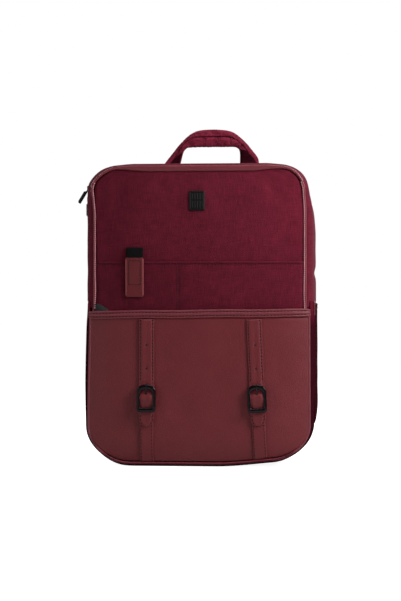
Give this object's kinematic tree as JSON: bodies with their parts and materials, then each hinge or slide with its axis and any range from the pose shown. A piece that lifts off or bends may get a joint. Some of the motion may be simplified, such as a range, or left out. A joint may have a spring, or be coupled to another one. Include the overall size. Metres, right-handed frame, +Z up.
{
  "type": "travel backpack",
  "caption": "Flat laptop backpack in woven fabric with a leather front pocket, buckled straps, a zip round the top, a grab handle and padded shoulder straps.",
  "frame": {"origin": "on the floor, at the middle of the flat underside that the bag stands on", "axes": "+Z up, +X across the bag to the right as seen from the front, -Y out of the front"},
  "size_m": [0.3147, 0.1722, 0.448],
  "materials": {
    "burgundy_fabric": "woven canvas, matt",
    "burgundy_leather": "grained, satin",
    "black_fabric": "plain lining weave",
    "black_webbing": "ribbed webbing",
    "black_plastic": "satin",
    "air_mesh": "padded mesh",
    "gunmetal": "black chrome plating, glossy",
    "zip_coil": "nylon coil",
    "board": "plastic board"
  },
  "bodies": {
    "pack": {"back_panel": "burgundy_fabric", "bottom_gusset": "burgundy_fabric", "zip_gusset_rear": "burgundy_fabric", "zip_tape_rear": "black_fabric", "zip_coil_rear": "zip_coil", "front_panel_lower": "burgundy_fabric", "piping_lower": "burgundy_leather", "compartment_lining": "black_fabric", "laptop_sleeve": "black_fabric", "base_board": "board", "front_pocket": "burgundy_leather", "pocket_lining": "black_fabric", "pocket_hem": "burgundy_leather", "back_pad_left": "air_mesh", "back_pad_right": "air_mesh", "lumbar_pad": "air_mesh", "strap_yoke": "burgundy_fabric", "front_strap_left": "burgundy_leather", "buckle_chape_left": "burgundy_leather", "zip_garage_left": "burgundy_leather", "side_pocket_left": "burgundy_fabric", "side_pocket_hem_left": "burgundy_fabric", "shoulder_strap_left": "burgundy_fabric", "lock_keeper_left": "black_webbing", "strap_webbing_left": "black_webbing", "strap_wing_left": "burgundy_fabric", "front_strap_right": "burgundy_leather", "buckle_chape_right": "burgundy_leather", "zip_garage_right": "burgundy_leather", "side_pocket_right": "burgundy_fabric", "side_pocket_hem_right": "burgundy_fabric", "shoulder_strap_right": "burgundy_fabric", "lock_keeper_right": "black_webbing", "strap_webbing_right": "black_webbing", "strap_wing_right": "burgundy_fabric"},
    "front_flap": {"front_panel_upper": "burgundy_fabric", "piping_upper": "burgundy_leather", "zip_gusset_front": "burgundy_fabric", "zip_tape_front": "black_fabric", "zip_coil_front": "zip_coil", "slip_pocket": "burgundy_fabric", "badge_patch": "black_fabric", "tab_webbing": "black_webbing"},
    "closing_tab": {"tab_leather": "burgundy_leather"},
    "slider_upper": {"zip_slider_upper": "gunmetal"},
    "slider_lower": {"zip_slider_lower": "gunmetal"},
    "pull_upper": {"zip_pull_upper": "black_plastic"},
    "pull_lower": {"zip_pull_lower": "black_plastic"},
    "top_handle": {"grab_handle": "burgundy_fabric"},
    "frame_left": {"buckle_frame_left": "gunmetal"},
    "frame_right": {"buckle_frame_right": "gunmetal"},
    "prong_left": {"buckle_prong_left": "gunmetal"},
    "prong_right": {"buckle_prong_right": "gunmetal"},
    "inner_strap": {"sleeve_strap": "black_webbing"},
    "lock_left": {"ladder_lock_left": "black_plastic", "webbing_tail_left": "black_webbing"},
    "lock_right": {"ladder_lock_right": "black_plastic", "webbing_tail_right": "black_webbing"}
  },
  "joints": [
    {"name": "front_fold", "type": "hinge", "parent": "pack", "child": "front_flap", "pos_m": [0, -0.064, 0.2149], "axis": [1, 0, 0], "range_deg": [0, 85]},
    {"name": "tab_lift", "type": "hinge", "parent": "front_flap", "child": "closing_tab", "pos_m": [-0.084, -0.0688, 0.271], "axis": [-1, 0, 0], "range_deg": [0, 110]},
    {"name": "upper_slider_corner", "type": "hinge", "parent": "pack", "child": "slider_upper", "pos_m": [-0.115, -0.036, 0.364], "axis": [0, 1, 0], "range_deg": [0, 90]},
    {"name": "lower_slider_run", "type": "slide", "parent": "pack", "child": "slider_lower", "axis": [0, 0, -1], "range_m": [0, 0.115]},
    {"name": "upper_pull_swing", "type": "hinge", "parent": "slider_upper", "child": "pull_upper", "pos_m": [-0.14955, -0.036, 0.364], "axis": [0, 1, 0], "range_deg": [-13, 120]},
    {"name": "lower_pull_swing", "type": "hinge", "parent": "slider_lower", "child": "pull_lower", "pos_m": [-0.14955, -0.036, 0.3495], "axis": [0, 1, 0], "range_deg": [0, 40]},
    {"name": "handle_fold", "type": "hinge", "parent": "pack", "child": "top_handle", "pos_m": [0, 0.041, 0.398], "axis": [1, 0, 0], "range_deg": [-80, 80]},
    {"name": "frame_rock_left", "type": "hinge", "parent": "pack", "child": "frame_left", "pos_m": [-0.0675, -0.0778, 0.089], "axis": [1, 0, 0], "range_deg": [-4, 4]},
    {"name": "prong_lift_left", "type": "hinge", "parent": "frame_left", "child": "prong_left", "pos_m": [-0.0675, -0.0778, 0.089], "axis": [1, 0, 0], "range_deg": [0, 12]},
    {"name": "frame_rock_right", "type": "hinge", "parent": "pack", "child": "frame_right", "pos_m": [0.07596, -0.0778, 0.0891], "axis": [0.999, 0, 0.0436], "range_deg": [-4, 4]},
    {"name": "prong_lift_right", "type": "hinge", "parent": "frame_right", "child": "prong_right", "pos_m": [0.07596, -0.0778, 0.0891], "axis": [0.999, 0, 0.0436], "range_deg": [0, 12]},
    {"name": "sleeve_strap_lift", "type": "hinge", "parent": "pack", "child": "inner_strap", "pos_m": [0, 0.0415, 0.2939], "axis": [-1, 0, 0], "range_deg": [0, 90]},
    {"name": "lock_tilt_left", "type": "hinge", "parent": "pack", "child": "lock_left", "pos_m": [-0.099, 0.0647, 0.1303], "axis": [1, 0, 0], "range_deg": [0, 30]},
    {"name": "lock_tilt_right", "type": "hinge", "parent": "pack", "child": "lock_right", "pos_m": [0.099, 0.0647, 0.1303], "axis": [1, 0, 0], "range_deg": [0, 30]}
  ]
}
